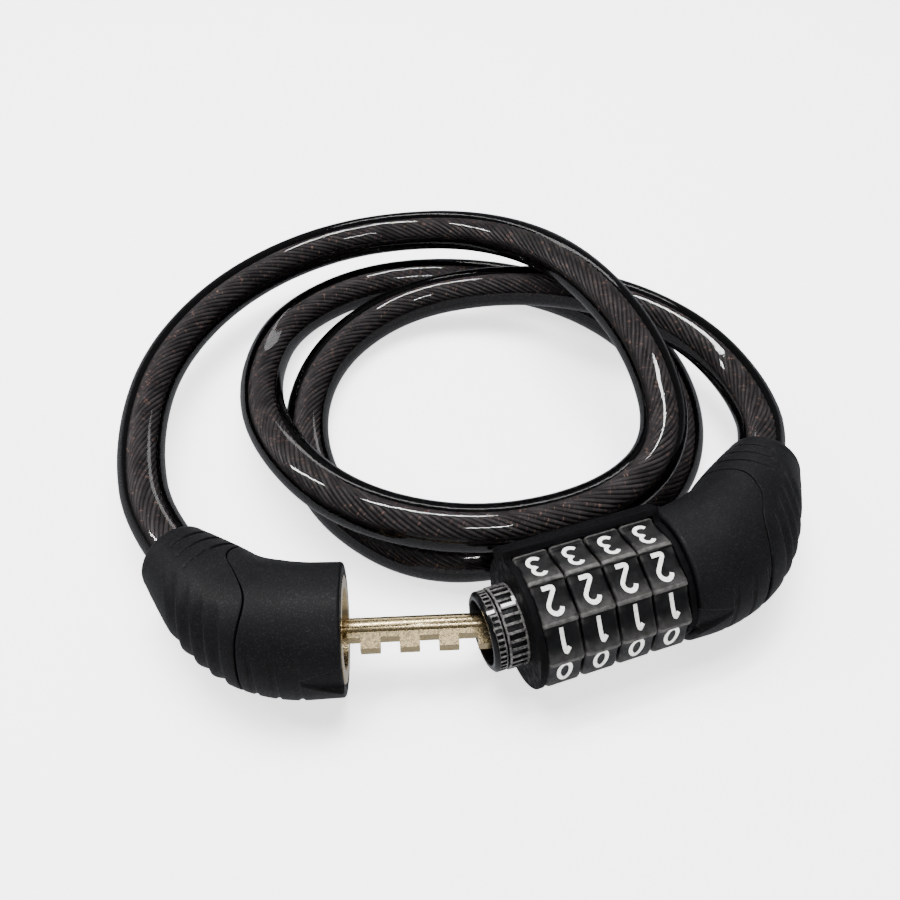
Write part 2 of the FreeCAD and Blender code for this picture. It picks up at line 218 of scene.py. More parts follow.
def noise(tree, where, size, detail=3.0, rough=0.55):
    """Noise whose lumps are about size millimetres across."""
    node = tree.nodes.new("ShaderNodeTexNoise")
    node.inputs["Scale"].default_value = 1 / size
    node.inputs["Detail"].default_value = detail
    node.inputs["Roughness"].default_value = rough
    join(tree, where, node.inputs["Vector"])
    return node.outputs["Fac"]


def span(tree, value, low, high, to_low, to_high):
    """Value mapped from low..high to to_low..to_high, and held beyond them."""
    node = tree.nodes.new("ShaderNodeMapRange")
    node.inputs["From Min"].default_value = low
    node.inputs["From Max"].default_value = high
    node.inputs["To Min"].default_value = to_low
    node.inputs["To Max"].default_value = to_high
    join(tree, value, node.inputs["Value"])
    return node.outputs["Result"]


def colour_mix(tree, factor, first, second):
    """A colour between two, by factor. Either may be a colour or a socket."""
    node = tree.nodes.new("ShaderNodeMix")
    node.data_type = "RGBA"
    for value, name in ((first, "A"), (second, "B")):
        colour = next(s for s in node.inputs if s.name == name and s.type == "RGBA")
        if isinstance(value, tuple):
            colour.default_value = (*value, 1.0)
        else:
            join(tree, value, colour)
    share = next(s for s in node.inputs if s.name == "Factor" and s.type == "VALUE")
    join(tree, factor, share)
    return next(s for s in node.outputs if s.type == "RGBA")


def math_node(tree, operation, first, second):
    """A sum on two values, each a number or a socket."""
    node = tree.nodes.new("ShaderNodeMath")
    node.operation = operation
    for value, socket in ((first, node.inputs[0]), (second, node.inputs[1])):
        if isinstance(value, (int, float)):
            socket.default_value = value
        else:
            join(tree, value, socket)
    return node.outputs[0]


def vector_node(tree, operation, first, second=None):
    """A vector operation on a socket and, where it takes two, a fixed vector."""
    node = tree.nodes.new("ShaderNodeVectorMath")
    node.operation = operation
    join(tree, first, node.inputs[0])
    if second:
        node.inputs[1].default_value = second
    return node


def bump(tree, height, strength, distance):
    """A normal from a height, for relief about distance millimetres deep."""
    node = tree.nodes.new("ShaderNodeBump")
    node.inputs["Strength"].default_value = strength
    node.inputs["Distance"].default_value = distance * MM
    join(tree, height, node.inputs["Height"])
    return node.outputs["Normal"]


def attribute(tree, name):
    """The number that numbers() stored under this name."""
    node = tree.nodes.new("ShaderNodeAttribute")
    node.attribute_name = name
    return node.outputs["Fac"]


# ---------------------------------------------------------------- materials
# grey of rubbed dial lips and side edges, also used as a painted sheen on each face towards its lip
WEAR_AND_SHEEN_GREY = (0.095, 0.092, 0.088)
# grey of the rib crests: wear, and a painted highlight along them
CREST_GREY = (0.115, 0.112, 0.108)
GLINT_BROWN = (0.52, 0.33, 0.26)
CLEAR_TINT = (0.78, 0.765, 0.77, 1)
COVER_BLACK = (0.0016, 0.0015, 0.0018, 1)
COVER_IOR = 1.5
STRAND_SHIFT = 3.7      # keeps the glints of neighbouring strands apart


def housing_material():
    """Matt black moulding with a fine spark-eroded grain."""
    material, tree = new_material("housing_black")
    where = position(tree)
    grain = noise(tree, where, 0.34, 2.0, 0.6)
    speck = span(tree, noise(tree, where, 0.30, 1.0, 0.5), 0.56, 0.74, 0, 1)
    cloud = span(tree, noise(tree, where, 9.0, 3.0, 0.5), 0.3, 0.7, 0, 1)
    ground = colour_mix(tree, cloud, (0.0022, 0.0023, 0.0026), (0.0034, 0.0035, 0.0039))
    shader = principled(tree, 0.5, Specular_IOR_Level=0.16)
    join(tree, colour_mix(tree, speck, ground, (0.011, 0.0112, 0.012)), shader.inputs["Base Color"])
    join(tree, span(tree, speck, 0, 1, 0.55, 0.36), shader.inputs["Roughness"])
    join(tree, bump(tree, grain, 0.5, 0.08), shader.inputs["Normal"])
    finish_surface(tree, shader.outputs[0])
    return material


def dial_material():
    """Semi-gloss black, rubbed grey along the lips and side edges, and a painted sheen: grey rising over each
    face towards its lip.
    """
    material, tree = new_material("dial_black")
    where = position(tree)
    wear_and_sheen = attribute(tree, "wear_and_sheen")
    patch = noise(tree, where, 1.3, 4.0, 0.65)
    # the stored share is wear on the lips and side edges, and a painted sheen where it rises over each face
    # towards its lip
    rub_and_sheen = math_node(tree, "MULTIPLY", wear_and_sheen, span(tree, patch, 0.3, 0.66, 0.3, 1.0))
    cloud = span(tree, noise(tree, where, 2.6, 3.0, 0.6), 0.35, 0.7, 0, 1)
    ground = colour_mix(tree, cloud, (0.0012, 0.0012, 0.0014), (0.0046, 0.0046, 0.005))
    colour = colour_mix(tree, rub_and_sheen, ground, WEAR_AND_SHEEN_GREY)
    shader = principled(tree, 0.36, Specular_IOR_Level=0.26)
    join(tree, colour, shader.inputs["Base Color"])
    smear = noise(tree, where, 0.6, 3.0, 0.6)
    join(tree, span(tree, smear, 0.3, 0.7, 0.28, 0.5), shader.inputs["Roughness"])
    join(tree, bump(tree, noise(tree, where, 0.4, 3.0, 0.6), 0.3, 0.05), shader.inputs["Normal"])
    finish_surface(tree, shader.outputs[0])
    return material


RIB_ZONE = -6.75        # the plain rim of the reset ring ends here, along the lock axis


def crest_wear_and_highlight(tree, where, crest):
    """1 on the lighter parts of ribs that stand at least crest away from the lock axis: wear, and a painted
    highlight along the crests.
    """
    axis = tuple(heading(LOCK_YAW))
    offset = vector_node(tree, "SUBTRACT", where, tuple(LOCK_START)).outputs["Vector"]
    along = vector_node(tree, "DOT_PRODUCT", offset, axis).outputs["Value"]
    across = vector_node(tree, "CROSS_PRODUCT", offset, axis).outputs["Vector"]
    radius = vector_node(tree, "LENGTH", across).outputs["Value"]
    high = span(tree, radius, crest - 0.08, crest, 0, 1)
    ribbed = span(tree, along, RIB_ZONE - 0.1, RIB_ZONE, 0, 1)
    patch = span(tree, noise(tree, where, 0.9, 4.0, 0.65), 0.36, 0.62, 0.15, 1)
    return math_node(tree, "MULTIPLY", math_node(tree, "MULTIPLY", high, ribbed), patch)


def gloss_material(name, roughness, colour, specular, crest=None):
    """Moulded or coated black with faint rubbing, and rib crests painted lighter, as wear and as a painted
    highlight, if a crest radius is given.
    """
    material, tree = new_material(name)
    where = position(tree)
    patch = span(tree, noise(tree, where, 1.7, 4.0, 0.6), 0.35, 0.7, 0, 1)
    lighter = tuple(c * 2.2 for c in colour)
    shader = principled(tree, roughness, Specular_IOR_Level=specular)
    shade = colour_mix(tree, patch, colour, lighter)
    if crest:
        # the rib crests go lighter: wear, and a painted highlight
        shade = colour_mix(tree, crest_wear_and_highlight(tree, where, crest), shade, CREST_GREY)
    join(tree, shade, shader.inputs["Base Color"])
    join(tree, span(tree, patch, 0, 1, roughness * 0.8, roughness * 1.5), shader.inputs["Roughness"])
    join(tree, bump(tree, noise(tree, where, 0.3, 2.0, 0.5), 0.2, 0.03), shader.inputs["Normal"])
    finish_surface(tree, shader.outputs[0])
    return material


def metal_material(name, light, dark, roughness, grain, depth):
    """Bare or plated metal with small pits and patches."""
    material, tree = new_material(name)
    where = position(tree)
    pits = noise(tree, where, grain, 5.0, 0.65)
    patch = span(tree, pits, 0.32, 0.62, 1, 0)
    shader = principled(tree, roughness, 1.0)
    join(tree, colour_mix(tree, patch, light, dark), shader.inputs["Base Color"])
    join(tree, span(tree, patch, 0, 1, roughness * 0.75, roughness * 1.5), shader.inputs["Roughness"])
    join(tree, bump(tree, pits, 0.5, depth), shader.inputs["Normal"])
    finish_surface(tree, shader.outputs[0])
    return material


def paint_material():
    """White number paint, thin and a little dirty."""
    material, tree = new_material("number_paint")
    where = position(tree)
    patch = span(tree, noise(tree, where, 0.8, 4.0, 0.7), 0.4, 0.75, 0, 1)
    shader = principled(tree, 0.45)
    join(tree, colour_mix(tree, patch, (0.80, 0.80, 0.78), (0.52, 0.51, 0.48)), shader.inputs["Base Color"])
    join(tree, bump(tree, patch, 0.3, 0.03), shader.inputs["Normal"])
    finish_surface(tree, shader.outputs[0])
    return material


def rope_material():
    """Dark steel wires with brown glints; the attributes are the place along a strand and its number."""
    material, tree = new_material("rope_steel")
    along = attribute(tree, "along")
    strand = attribute(tree, "strand")
    where = tree.nodes.new("ShaderNodeCombineXYZ")
    join(tree, along, where.inputs[0])
    join(tree, math_node(tree, "MULTIPLY", strand, STRAND_SHIFT), where.inputs[1])
    glints = noise(tree, where.outputs[0], 0.55, 2.0, 0.6)
    tone = noise(tree, where.outputs[0], 6.0, 2.0, 0.5)
    bright = span(tree, glints, 0.61, 0.74, 0, 1)
    shade = span(tree, tone, 0.35, 0.65, 0, 1)
    ground = colour_mix(tree, shade, (0.032, 0.0308, 0.0318), (0.084, 0.080, 0.080))
    colour = colour_mix(tree, bright, ground, GLINT_BROWN)
    shader = principled(tree, 0.42, 0.3)
    join(tree, colour, shader.inputs["Base Color"])
    join(tree, span(tree, glints, 0.3, 0.75, 0.5, 0.25), shader.inputs["Roughness"])
    finish_surface(tree, shader.outputs[0])
    return material


def sheath_material():
    """Smoked clear cover over the rope. What shows past the rope is the dark inside of its far wall."""
    material, tree = new_material("smoked_pvc")
    side = tree.nodes.new("ShaderNodeNewGeometry").outputs["Backfacing"]
    outside = math_node(tree, "SUBTRACT", 1.0, attribute(tree, "inner"))
    shadow = tree.nodes.new("ShaderNodeLightPath").outputs["Is Shadow Ray"]
    seen = math_node(tree, "SUBTRACT", 1.0, shadow)
    far_wall = math_node(tree, "MULTIPLY", math_node(tree, "MULTIPLY", side, outside), seen)
    clear = tree.nodes.new("ShaderNodeBsdfTransparent")
    clear.inputs["Color"].default_value = CLEAR_TINT
    body = tree.nodes.new("ShaderNodeBsdfDiffuse")
    body.inputs["Color"].default_value = COVER_BLACK
    inside = tree.nodes.new("ShaderNodeMixShader")
    join(tree, far_wall, inside.inputs["Fac"])
    join(tree, clear.outputs[0], inside.inputs[1])
    join(tree, body.outputs[0], inside.inputs[2])
    mirror = tree.nodes.new("ShaderNodeBsdfGlossy")
    mirror.inputs["Color"].default_value = (1, 1, 1, 1)
    mirror.inputs["Roughness"].default_value = 0.05
    fresnel = tree.nodes.new("ShaderNodeFresnel")
    fresnel.inputs["IOR"].default_value = COVER_IOR
    surface = tree.nodes.new("ShaderNodeMixShader")
    shine = span(tree, fresnel.outputs[0], 0.04, 0.6, 0.035, 0.30)
    join(tree, math_node(tree, "MULTIPLY", shine, outside), surface.inputs["Fac"])
    join(tree, inside.outputs[0], surface.inputs[1])
    join(tree, mirror.outputs[0], surface.inputs[2])
    finish_surface(tree, surface.outputs[0])
    return material


MATERIALS = {
    "housing_black": housing_material(),
    "dial_black": dial_material(),
    "boss_black": gloss_material("boss_black", 0.24, (0.0014, 0.0014, 0.0016), 0.3, RESET_R - 0.04),
    "frame_black": gloss_material("frame_black", 0.55, (0.0012, 0.0012, 0.0014), 0.08),
    "pale_gold": metal_material("pale_gold", (0.62, 0.50, 0.29), (0.42, 0.31, 0.16), 0.25, 0.5, 0.015),
    "gate_brass": metal_material("gate_brass", (0.74, 0.55, 0.27), (0.45, 0.30, 0.13), 0.32, 0.9, 0.03),
    "steel": metal_material("steel", (0.62, 0.62, 0.62), (0.40, 0.40, 0.40), 0.30, 0.8, 0.02),
    "cast_zinc": metal_material("cast_zinc", (0.52, 0.52, 0.54), (0.35, 0.35, 0.36), 0.48, 1.1, 0.06),
    "ferrule": metal_material("ferrule", (0.74, 0.74, 0.76), (0.55, 0.55, 0.56), 0.36, 0.9, 0.03),
    "smoked_pvc": sheath_material(),
    "rope_steel": rope_material(),
}
WHITE_PAINT = paint_material()


def dress(piece, slot):
    """Gives a piece its slot's material."""
    piece.data.materials.clear()
    piece.data.materials.append(MATERIALS[slot])


# ---------------------------------------------------------------- camera, lights and floor
def make_camera():
    """The main view, from above the near side."""
    data = bpy.data.cameras.new("camera")
    data.sensor_width = 36.0
    data.lens = 38.04
    data.clip_start = 0.01
    data.clip_end = 20.0
    camera = bpy.data.objects.new("camera", data)
    camera.location = (-0.008, -0.133, 0.1976)
    camera.rotation_euler = (math.radians(42.5), 0, 0)
    bpy.context.scene.collection.objects.link(camera)
    bpy.context.scene.camera = camera


def make_light(name, place, target, size_x, size_y, power, mirrored=True):
    """A rectangular light, in metres and watts. A light that isn't mirrored leaves no glint."""
    data = bpy.data.lights.new(name, "AREA")
    data.shape = "RECTANGLE"
    data.size = size_x
    data.size_y = size_y
    data.energy = power
    light = bpy.data.objects.new(name, data)
    light.visible_glossy = mirrored
    light.location = place
    light.rotation_euler = (Vector(target) - Vector(place)).to_track_quat("-Z", "Y").to_euler()
    bpy.context.scene.collection.objects.link(light)


FLOOR_GLOW = 1.8        # the table is close to pure white
FLOOR_HALF = 3000


def make_stage():
    """A white table under soft light, with narrow lights for the glints along the cable."""
    world = bpy.data.worlds.new("studio")
    world.use_nodes = True
    tree = world.node_tree
    sky = tree.nodes["Background"]
    sky.inputs["Color"].default_value = (0.93, 0.95, 1.0, 1)
    where = tree.nodes.new("ShaderNodeTexCoord")
    split = tree.nodes.new("ShaderNodeSeparateXYZ")
    join(tree, where.outputs["Generated"], split.inputs[0])
    join(tree, span(tree, split.outputs[2], -0.15, 0.05, 0.65, 0.15), sky.inputs["Strength"])
    bpy.context.scene.world = world
    corners = [(x * FLOOR_HALF, y * FLOOR_HALF, 0) for x, y in ((-1, -1), (1, -1), (1, 1), (-1, 1))]
    floor = mesh_piece("floor", corners, [(0, 1, 2, 3)])
    material, tree = new_material("pale_floor")
    shader = principled(tree, 0.65)
    cloud = noise(tree, position(tree), 60.0, 3.0, 0.5)
    join(tree, colour_mix(tree, cloud, (0.90, 0.90, 0.905), (0.92, 0.92, 0.925)), shader.inputs["Base Color"])
    shader.inputs["Emission Color"].default_value = (1, 1, 1, 1)
    shader.inputs["Emission Strength"].default_value = FLOOR_GLOW
    finish_surface(tree, shader.outputs[0])
    floor.data.materials.append(material)
    floor.visible_glossy = False
    make_light("soft_top", (-0.05, 0.25, 0.95), (0, 0.05, 0), 0.9, 0.6, 30, mirrored=False)
    make_light("far_strip", (-0.10, 0.26, 1.00), (0, 0.05, 0), 0.50, 0.07, 7)
    make_light("far_card", (0.10, 1.00, 0.55), (0, 0.05, 0), 0.7, 0.18, 1.6)
    make_light("left_strip", (-0.60, 0.10, 0.50), (-0.03, 0.05, 0), 0.04, 0.35, 3)
    make_light("front_strip", (0.15, -0.50, 0.75), (0, 0, 0), 0.22, 0.05, 2)


make_camera()
make_stage()


# ---------------------------------------------------------------- cable
def route_line():
    """Points of the smooth spline that the cable follows, in millimetres."""
    data = bpy.data.curves.new("cable_route", "CURVE")
    data.dimensions = "3D"
    data.resolution_u = 24
    spline = data.splines.new("NURBS")
    spline.points.add(len(ROUTE) - 1)
    for point, place in zip(spline.points, ROUTE):
        point.co = (*(c * MM for c in place), 1.0)
    spline.order_u = 3
    spline.use_endpoint_u = True
    curve = bpy.data.objects.new("cable_route", data)
    bpy.context.scene.collection.objects.link(curve)
    bpy.context.view_layer.update()
    mesh = bpy.data.meshes.new_from_object(curve.evaluated_get(bpy.context.evaluated_depsgraph_get()))
    line = np.array([v.co for v in mesh.vertices], float) / MM
    bpy.data.meshes.remove(mesh)
    bpy.data.objects.remove(curve)
    return line


def run_of(line):
    """How far along a line each of its points lies."""
    return np.r_[0, np.cumsum(np.linalg.norm(np.diff(line, axis=0), axis=1))]


def trim(line, start, end):
    """The part of a line from start to end before its last point, both along the line."""
    run = run_of(line)
    keep = (run > start) & (run < run[-1] - end)
    ends = [[np.interp(at, run, line[:, k]) for k in range(3)] for at in (start, run[-1] - end)]
    return np.vstack([ends[0], line[keep], ends[1]])


def cross_directions(line):
    """Two steady directions across a line, at each of its points."""
    along = np.gradient(line, axis=0)
    along /= np.linalg.norm(along, axis=1)[:, None]
    side = np.cross(UP, along[0])
    sides = []
    for direction in along:
        side = side - direction * (side @ direction)
        side = side / np.linalg.norm(side)
        sides.append(side)
    sides = np.array(sides)
    return sides, np.cross(along, sides)


COVER_SIDES = 48
COVER_PLAY = 0.2        # between the rope and the inside of the cover


def sheath_piece(line):
    """The cover: an outer and an inner wall joined at both ends."""
    side, over = cross_directions(line)
    angles = np.arange(COVER_SIDES) * 2 * math.pi / COVER_SIDES
    ring = np.cos(angles)[:, None, None] * side + np.sin(angles)[:, None, None] * over
    outer = line + ring * CABLE_R
    inner = (line + ring * (ROPE_R + COVER_PLAY))[:, ::-1]
    loops = np.concatenate([outer, inner], axis=1)
    piece = mesh_piece("cable_cover", loops.reshape(-1, 3), grid_faces(COVER_SIDES, loops.shape[1]))
    numbers(piece, "inner", np.tile(np.repeat([0, 1], len(line)), COVER_SIDES))
    return piece


STRANDS = 16
LAY = 40.0              # along the rope for one turn of a strand
STRAND_R = 0.6
STRAND_SIDES = 6
CORE_SIDES = 18


def rope_piece(line):
    """Strands laid round a core, each one a thin tube on its helix."""
    side, over = cross_directions(line)
    run = run_of(line)
    points, faces, place, number = [], [], [], []
    for k in range(STRANDS + 1):
        core = k == STRANDS
        turn = 2 * math.pi * (run / LAY + k / STRANDS)
        radius = 0.0 if core else ROPE_R - STRAND_R
        wall = ROPE_R - 1.5 * STRAND_R if core else STRAND_R
        count = CORE_SIDES if core else STRAND_SIDES
        out = np.cos(turn)[:, None] * side + np.sin(turn)[:, None] * over
        middle = line + out * radius
        direction = np.gradient(middle, axis=0)
        direction /= np.linalg.norm(direction, axis=1)[:, None]
        flank = np.cross(direction, out)
        first = len(points)
        for i in range(len(line)):
            for j in range(count):
                a = 2 * math.pi * j / count
                points.append(middle[i] + (math.cos(a) * out[i] + math.sin(a) * flank[i]) * wall)
                place.append(run[i])
                number.append(k)
        faces += grid_faces(len(line), count, first, close_rows=False)
        faces.append(tuple(first + j for j in reversed(range(count))))
        faces.append(tuple(first + (len(line) - 1) * count + j for j in range(count)))
    piece = mesh_piece("wire_strands", points, faces)
    numbers(piece, "along", place)
    numbers(piece, "strand", number)
    return piece


COVER_TRIM = (11.74, 12.76)     # what the route has past each end of the cover
ROPE_TRIM = (1.54, 2.56)
ROUTE_LINE = route_line()
cover_line = trim(ROUTE_LINE, *COVER_TRIM)
rope_line = trim(ROUTE_LINE, *ROPE_TRIM)
cover = sheath_piece(cover_line)
rope = rope_piece(rope_line)
dress(cover, "smoked_pvc")
dress(rope, "rope_steel")
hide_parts("cable_sheath")
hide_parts("wire_rope")


STIFF_RUN = 20.0        # the weights are 0 up to this far along the cable
SOFT_RUN = 230.0        # and rise smoothly to 1 by this far
BLOCK = 4000            # points weighted at a time


def bend_with_bolt_end(piece, line):
    """Bakes the piece's placement into its points and weighs each point by how far along the line its nearest
    point lies. The weights are not kept or used.
    """
    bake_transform(piece)
    points = np.array([v.co for v in piece.data.vertices], float) / MM
    run = run_of(line)
    weights = np.ones(len(points))
    for start in range(0, len(points), BLOCK):
        block = points[start:start + BLOCK]
        gap = ((block[:, None] - line[None]) ** 2).sum(2)
        weights[start:start + BLOCK] = smoothstep(STIFF_RUN, SOFT_RUN, run[gap.argmin(1)])


bend_with_bolt_end(cover, cover_line)
bend_with_bolt_end(rope, rope_line)

# ---------------------------------------------------------------- elbow housings
PORT_R = 6.1
PORT_FLARE_R = 6.9
GRIP_FULL = 15.0
GRIP_R = smooth_curve([(0, 7.6), (1.2, 8.5), (4, 9.4), (10, 11.0), (16, 12.4), (24, 13.7), (31, 14.7),
                       (36, GRIP_FULL), (50, GRIP_FULL)])     # (back from the port, radius)
FACE_TAPER = 0.12
AROUND = 300
FIRST_RIB = 25.5
RIB_PITCH = 3.5
RIB_COUNT = 4
RIB_DEPTH = 0.75
RIB_ARC = (-75, 36, 34)         # from degree, to degree and the fade past them
SLOTS = ((6.0, 88, 132), (9.9, 84, 136), (14.0, 80, 140))    # from the port, and over which angles
SLOT_DEPTH = 0.6
SLOT_FADE = 9
LOW_GROOVES = (8.8, 13.8, 18.6)
GROOVE_ARC = (-60, 18, 22)
GROOVE_DEPTH = 0.32
GROOVE_HALF = 0.35
NOTCH_LENGTH = 8
NOTCH_DEPTH = 1.25
FACE_ROUND = 0.7
PORT_ROUND = 1.3
SEAM_EDGE = ((0.0, 0.3), (0.03, 0.14), (0.12, 0.05))      # (off the seam, inset)
SEAM_GAP = 0.32
SEAM_BAND = 0.3         # the plain skin starts this far off the seam's edge
PORT_DEPTH = 7.0
PORT_STEPS = ((0.0, PORT_FLARE_R + 0.12), (0.12, PORT_FLARE_R), (PORT_DEPTH, PORT_R))   # (in, radius)


class Elbow:
    """A straight lead, an arc to one side and a straight tail. The angle round it is measured from the
    outside of the bend over the top. The lip is how far the shell stands out past the open face."""

    def __init__(self, start, first, turn, lead, tail, full, lip=0.0):
        self.start = start
        self.d0 = heading(first)
        self.n0 = heading(first + math.copysign(90, turn))
        self.turn = math.radians(abs(turn))
        self.lead = lead
        self.total = lead + ELBOW_R * self.turn + tail
        self.full = full
        self.lip = lip

    def middle(self, s):
        """Centre line points and the directions to the outside of the bend, s millimetres from the face."""
        done = np.clip((s - self.lead) / ELBOW_R, 0, self.turn)[:, None]
        last = math.cos(self.turn) * self.d0 + math.sin(self.turn) * self.n0
        past = np.maximum(s - self.lead - ELBOW_R * self.turn, 0)[:, None]
        place = (self.start + self.d0 * np.minimum(s, self.lead)[:, None] + last * past
                 + ELBOW_R * (np.sin(done) * self.d0 + (1 - np.cos(done)) * self.n0))
        return place, np.sin(done) * self.d0 - np.cos(done) * self.n0

    def surface(self, s, angle, radius):
        """Points at a radius round the centre line."""
        place, out = self.middle(s)
        return place + radius[:, None] * (np.cos(angle)[:, None] * out + np.sin(angle)[:, None] * UP)

    def radius(self, s):
        """Plain outside radius."""
        return GRIP_R(self.total - s) * self.full / GRIP_FULL - FACE_TAPER * smoothstep(12, 0, s)

    def relief(self, s, angle):
        """Height of the ribs, slots, grooves and notch against the plain surface."""
        plain = self.surface(s, angle, self.radius(s)) - self.start
        deep = plain @ self.d0
        degrees = np.degrees(angle)
        degrees = np.where(degrees > 180, degrees - 360, degrees)
        step = (deep - FIRST_RIB) / RIB_PITCH
        phase = step - np.floor(step)
        rise = smoothstep(0, 0.78, phase) * (1 - smoothstep(0.8, 1.0, phase))     # a slow rise, a steep fall
        live = ((step > -0.2) & (step < RIB_COUNT - 0.22)) * band(degrees, *RIB_ARC)
        height = -RIB_DEPTH * (1 - rise) * live
        for from_port, low, high in SLOTS:
            x = self.total - s - from_port
            cut = smoothstep(-0.4, -0.12, x) * (1 - smoothstep(0.08, 0.7, x))
            height -= SLOT_DEPTH * cut * band(degrees, low, high, SLOT_FADE)
        for from_face in LOW_GROOVES:
            cut = band(deep, from_face - GROOVE_HALF, from_face + GROOVE_HALF, 0.45)
            height -= GROOVE_DEPTH * cut * band(degrees, *GROOVE_ARC)
        lean = 1 - np.clip(deep, 0, NOTCH_LENGTH) / NOTCH_LENGTH
        # the notch widens and deepens towards the open face
        notch = band(degrees, 11 - 17 * lean, 12 + 9 * lean, 2.6) * (lean > 0)
        return height - (0.25 + NOTCH_DEPTH * lean) * notch

    def skin(self, s, angle, inset):
        """Points of the outside with its relief, set in by inset."""
        return self.surface(s, angle, self.radius(s) + self.relief(s, angle) - inset)


def seam_line(elbow, seam, sign):
    """How far along the elbow the seam lies, for each angle round it."""
    angle = np.arange(AROUND) * 2 * math.pi / AROUND
    steps = np.linspace(8, elbow.total - 8, 160)
    found = np.zeros(AROUND)
    for j, a in enumerate(angle):
        points = elbow.surface(steps, np.full(len(steps), a), elbow.radius(steps))
        side = sign * (points[:, 0] - seam(points[:, 1]))
        after = int(np.argmax(side < 0))
        share = side[after - 1] / (side[after - 1] - side[after])
        found[j] = steps[after - 1] + share * (steps[after] - steps[after - 1])
    smooth = np.array([1, 4, 6, 4, 1]) / 16
    return angle, np.convolve(np.r_[found[-2:], found, found[:2]], smooth, "valid")


def rounded(radius, steps):
    """(back from the end, inset) pairs that round an end's edge, from the end face inwards."""
    for k in range(steps + 1):
        a = k / steps * math.pi / 2
        yield radius * (1 - math.cos(a)), radius * (1 - math.sin(a))


def housing_body(name, elbow, angle, seam):
    """From the open face to the seam, with its inner wall."""
    rows = []
    for back, inset in rounded(FACE_ROUND, 5):
        rows.append(elbow.skin(np.full(AROUND, back - elbow.lip), angle, inset))
    first = FACE_ROUND - elbow.lip
    edge = seam - SEAM_GAP / 2
    for share in np.linspace(0, 1, 110)[1:]:
        rows.append(elbow.skin(first + share * (edge - SEAM_BAND - first), angle, 0.0))
    for back, inset in reversed(SEAM_EDGE):
        rows.append(elbow.skin(edge - back, angle, inset))
    for share in np.linspace(1, 0, 16):
        s = share * (edge + elbow.lip) - elbow.lip
        rows.append(elbow.surface(s, angle, elbow.radius(s) - WALL))
    return mesh_piece(name, np.concatenate(rows), grid_faces(len(rows), AROUND))


def housing_grip(name, elbow, angle, seam):
    """From the seam to the cable port."""
    edge = seam + SEAM_GAP / 2
    rows = []
    for on, inset in SEAM_EDGE:
        rows.append(elbow.skin(edge + on, angle, inset))
    last = elbow.total - PORT_ROUND
    first = edge + SEAM_BAND
    mean = first.mean()
    for share in np.linspace(0, 1, 130):
        s = mean + (last - mean) * share + (first - mean) * (1 - share) ** 1.5
        rows.append(elbow.skin(s, angle, 0.0))
    for back, inset in reversed(list(rounded(PORT_ROUND, 6))):
        rows.append(elbow.skin(np.full(AROUND, elbow.total - back), angle, inset * 0.45))
    for back, radius in PORT_STEPS:
        rows.append(elbow.surface(np.full(AROUND, elbow.total - back), angle, np.full(AROUND, radius)))
    inner = elbow.total - PORT_DEPTH - 0.2
    for share in np.linspace(1, 0, 14):
        s = edge + share * (inner - edge)
        rows.append(elbow.surface(s, angle, elbow.radius(s) - WALL))
    return mesh_piece(name, np.concatenate(rows), grid_faces(len(rows), AROUND))


# (y, x) of the seams as seen from above
BOLT_SEAM = [(8.0, -53.5), (-1.0, -55.5), (-8.0, -57.4), (-14.5, -54.2), (-20.5, -51.6), (-30.0, -53.0),
             (-40.0, -52.4)]
LOCK_SEAM = [(29.4, 47.4), (19.9, 52.9), (16.6, 59.4), (9.4, 63.6), (0.2, 62.6), (-9.3, 64.0), (-20.6, 66.4)]


def make_housing(end, body, elbow, seam_points, sign):
    """The two shells of one end. The sign is 1 where the grip lies on the -X side of the seam."""
    angle, seam = seam_line(elbow, smooth_curve(seam_points), sign)
    for part, build in (("housing", housing_body), ("grip", housing_grip)):
        piece = build(end + "_" + part + "_shell", elbow, angle, seam)
        dress(piece, "housing_black")
        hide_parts(end + "_" + part)
        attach(piece, body)


CUP_LIP = 0.7           # the bolt end's shell stands out round the bright cup
bolt_elbow = Elbow(BOLT_FACE, 180 + BOLT_YAW, -BOLT_TURN, 6.4, 19, BOLT_BODY_R, CUP_LIP)
lock_elbow = Elbow(LOCK_START + heading(LOCK_YAW) * REAR, LOCK_YAW, LOCK_TURN, 4, 23, BODY_R)
make_housing("bolt", "bolt_end", bolt_elbow, BOLT_SEAM, 1)
make_housing("lock", "lock_end", lock_elbow, LOCK_SEAM, -1)


# ---------------------------------------------------------------- dials
FACETS = 10
STEP = 360 / FACETS
FIRST_EDGE = 96.5       # where the lip between 3 and 2 stands, in degrees from the far side over the top
LIP_DEGREES = [32.3, 32.9, 34.9, 35.3, 35.75, 36.0]
LIP_RADII = [15.37, 15.38, 15.27, 15.1, 14.66, 14.56]


def facet_radius(t):
    """Outside radius of a number ring against the degrees past the last lip."""
    hollow = 14.55 - 0.07006 * t + 0.0029604 * t * t
    lip = np.interp(t, LIP_DEGREES, LIP_RADII)
    return np.minimum(np.where(t < LIP_DEGREES[0], hollow, lip), DIAL_R)


FACET_STEPS = [0, 0.35, 1.2, 4, 7, 10, 13, 16, 19, 22, 25, 28, 30, 31.3, 32.1, 32.7, 33.3, 34.2, 34.9, 35.2,
               35.5, 35.75]
RING_BORE_R = 10.45
SIDE_STEPS = [(0.0, None, 0.0), (0.0, 0.55, 0.0), (0.06, 0.32, 0.1), (0.2, 0.14, 0.3), (0.42, 0.03, 0.22),
              (0.75, 0.0, 0.08)]        # (in from the side, inset or None for the bore, wear)


def dial_start(k):
    """Where a dial begins, along the lock axis."""
    return PLATE + 0.25 + PITCH * k


